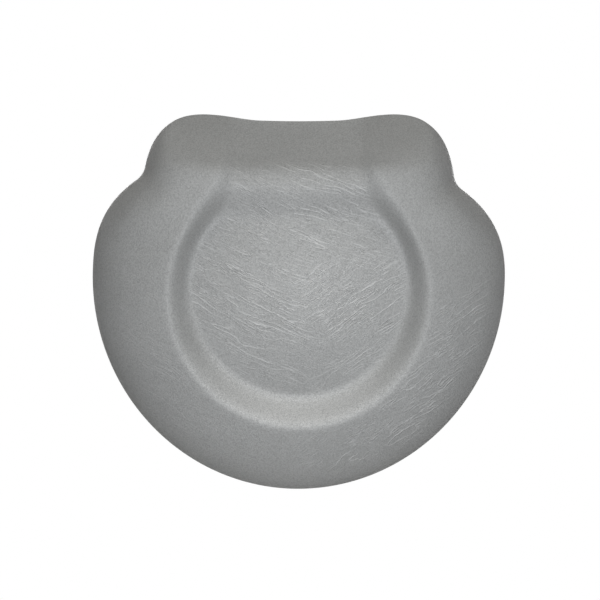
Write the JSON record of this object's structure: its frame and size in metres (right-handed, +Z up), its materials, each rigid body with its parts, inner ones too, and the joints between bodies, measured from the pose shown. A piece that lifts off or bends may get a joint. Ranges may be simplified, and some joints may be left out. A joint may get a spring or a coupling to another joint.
{
  "type": "chair headrest attachment",
  "caption": "Contoured vinyl headrest pad with eared top, horseshoe rim and head dish, on a tilting steel bracket whose socket clamps to a chair's round post with a knob.",
  "frame": {"origin": "middle of the post socket, on the post's axis", "axes": "+Z up along the post, -Y towards the sitter (the pad's face), +X across the pad"},
  "size_m": [0.3001, 0.2126, 0.2726],
  "materials": {
    "grey_vinyl": "grained satin vinyl",
    "moulded_foam": "open-cell foam",
    "plywood": "raw plywood",
    "zinc_steel": "zinc plated",
    "spring_steel": "oiled",
    "black_steel": "textured powder coat",
    "cast_alloy": "black coated casting",
    "black_plastic": "fine texture",
    "grey_plastic": "smooth",
    "white_bush": "waxy",
    "brass_shoe": "turned"
  },
  "bodies": {
    "socket": {"post_socket": "cast_alloy", "stop_pin": "zinc_steel", "upper_post_bush": "black_plastic", "lower_post_bush": "black_plastic", "hinge_bushes": "white_bush"},
    "pad": {"vinyl_cover": "grey_vinyl", "foam_core": "moulded_foam", "backing_board": "plywood", "tee_nuts": "zinc_steel", "cover_staples": "zinc_steel", "rear_cover": "black_plastic", "cover_screws": "black_steel", "mounting_plate": "black_steel", "plate_screws": "zinc_steel", "lock_washers": "zinc_steel", "hinge_yoke": "black_steel", "weld_beads": "black_steel", "hinge_bolt": "zinc_steel", "flat_washers": "zinc_steel", "disc_springs": "spring_steel", "lock_nut": "zinc_steel"},
    "shoe": {"clamp_shoe": "brass_shoe"},
    "knob": {"clamp_stud": "zinc_steel", "clamp_knob": "black_plastic", "knob_cap": "grey_plastic"}
  },
  "joints": [
    {"name": "pad_tilt", "type": "hinge", "parent": "socket", "child": "pad", "pos_m": [0, -0.034, 0], "axis": [1, 0, 0], "range_deg": [-20, 20]},
    {"name": "shoe_slide", "type": "slide", "parent": "socket", "child": "shoe", "axis": [0, 1, 0], "range_m": [-0.00032, 0.00251]},
    {"name": "knob_turn", "type": "hinge", "parent": "shoe", "child": "knob", "pos_m": [0, 0.034, 0], "axis": [0, 1, 0], "range_deg": [-90, 720]}
  ],
  "couplings": [
    {"joint": "shoe_slide", "follows": "knob_turn", "m_per_rad": 0.00019894}
  ]
}
